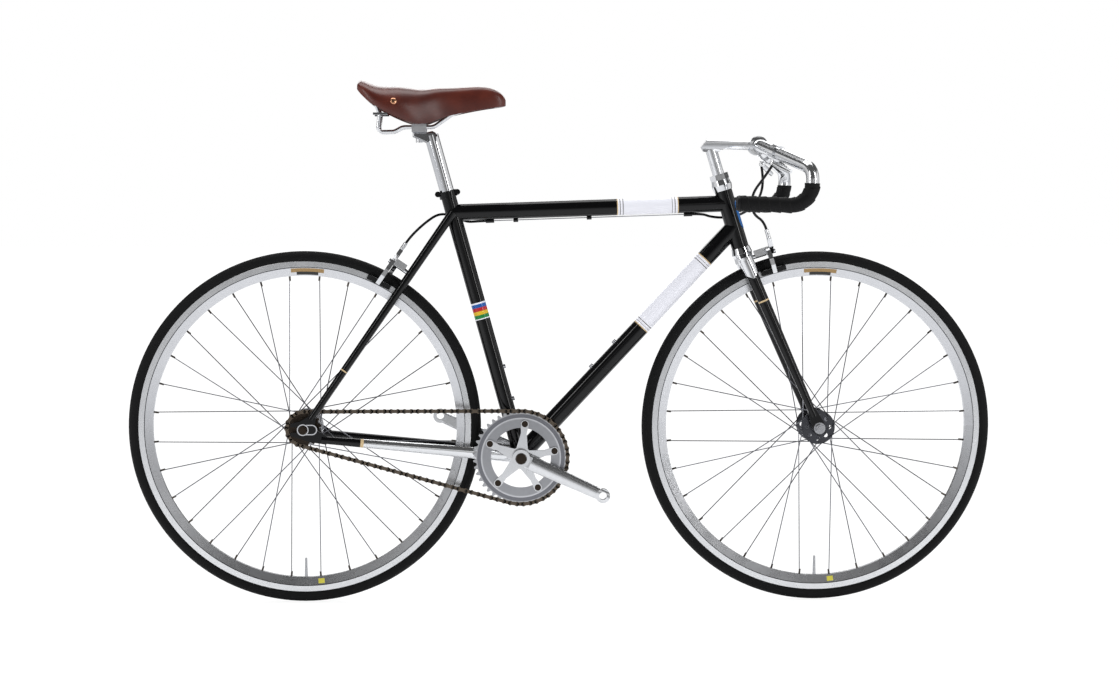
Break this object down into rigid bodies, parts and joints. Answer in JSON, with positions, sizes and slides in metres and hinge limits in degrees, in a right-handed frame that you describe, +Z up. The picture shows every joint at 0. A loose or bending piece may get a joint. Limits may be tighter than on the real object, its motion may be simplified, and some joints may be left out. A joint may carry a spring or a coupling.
{
  "type": "bicycle",
  "caption": "Single-speed road bicycle with a steel frame, drop handlebar, leather saddle, rim brakes, chain drive and wire-spoked wheels.",
  "frame": {"origin": "seat point on top of the saddle, where the rider sits", "axes": "+X forward, +Y to the rider's left, +Z up"},
  "size_m": [1.6519, 0.42, 0.9943],
  "materials": {
    "black_paint": "gloss",
    "chrome": "polished",
    "polished_alloy": "polished",
    "grey_alloy": "satin",
    "steel": "satin",
    "dark_steel": "oiled",
    "tyre_rubber": "matt",
    "pad_rubber": "matt",
    "black_tape": "matt",
    "black_housing": "gloss",
    "brown_leather": "satin"
  },
  "bodies": {
    "frame": {"head_tube": "black_paint", "top_tube": "black_paint", "down_tube": "black_paint", "seat_tube": "black_paint", "bottom_bracket_shell": "black_paint", "right_chain_stay": "black_paint", "left_chain_stay": "black_paint", "right_seat_stay": "black_paint", "left_seat_stay": "black_paint", "right_rear_dropout": "black_paint", "left_rear_dropout": "black_paint", "stay_bridges": "black_paint", "headset_cups": "chrome", "bottom_bracket_cups": "grey_alloy", "seat_collar": "black_paint", "seat_post": "chrome", "saddle_clamp": "chrome", "saddle_rails": "chrome", "saddle_top": "brown_leather", "chain": "dark_steel", "rear_axle": "steel", "rear_brake_caliper": "polished_alloy", "rear_brake_pads": "pad_rubber", "rear_cable_loop": "black_housing", "rear_cable_wire": "steel", "rear_cable_tail": "black_housing", "cable_stops": "black_paint", "bottle_bosses": "steel"},
    "fork": {"fork_crown": "chrome", "right_fork_blade": "black_paint", "left_fork_blade": "black_paint", "fork_dropouts": "black_paint", "headset_races": "chrome", "stem": "polished_alloy", "handlebar": "polished_alloy", "bar_tape": "black_tape", "bar_plugs": "black_tape", "brake_levers": "polished_alloy", "front_brake_caliper": "polished_alloy", "front_brake_pads": "pad_rubber", "front_cable": "black_housing", "front_axle": "steel"},
    "front_wheel": {"front_tyre": "tyre_rubber", "front_rim": "polished_alloy", "front_hub_and_spokes": "grey_alloy", "front_valve": "steel"},
    "rear_wheel": {"rear_tyre": "tyre_rubber", "rear_rim": "polished_alloy", "rear_hub_and_spokes": "grey_alloy", "rear_valve": "steel", "rear_cog": "dark_steel"},
    "crank": {"chainring": "grey_alloy", "chainring_bolts": "dark_steel", "right_crank": "polished_alloy", "left_crank": "polished_alloy", "crank_spindle": "steel", "crank_caps": "dark_steel"}
  },
  "joints": [
    {"name": "steering", "type": "hinge", "parent": "frame", "child": "fork", "pos_m": [0.61305, 0, -0.24463], "axis": [-0.2924, 0, 0.9563], "range_deg": [-75, 75], "deforming": ["rear_cable_loop"]},
    {"name": "front_wheel_spin", "type": "hinge", "parent": "fork", "child": "front_wheel", "pos_m": [0.7775, 0, -0.644], "axis": [0, 1, 0], "continuous": true},
    {"name": "rear_wheel_spin", "type": "hinge", "parent": "frame", "child": "rear_wheel", "pos_m": [-0.2025, 0, -0.644], "axis": [0, 1, 0], "continuous": true},
    {"name": "crank_spin", "type": "hinge", "parent": "frame", "child": "crank", "pos_m": [0.20895, 0, -0.7], "axis": [0, 1, 0], "continuous": true}
  ]
}
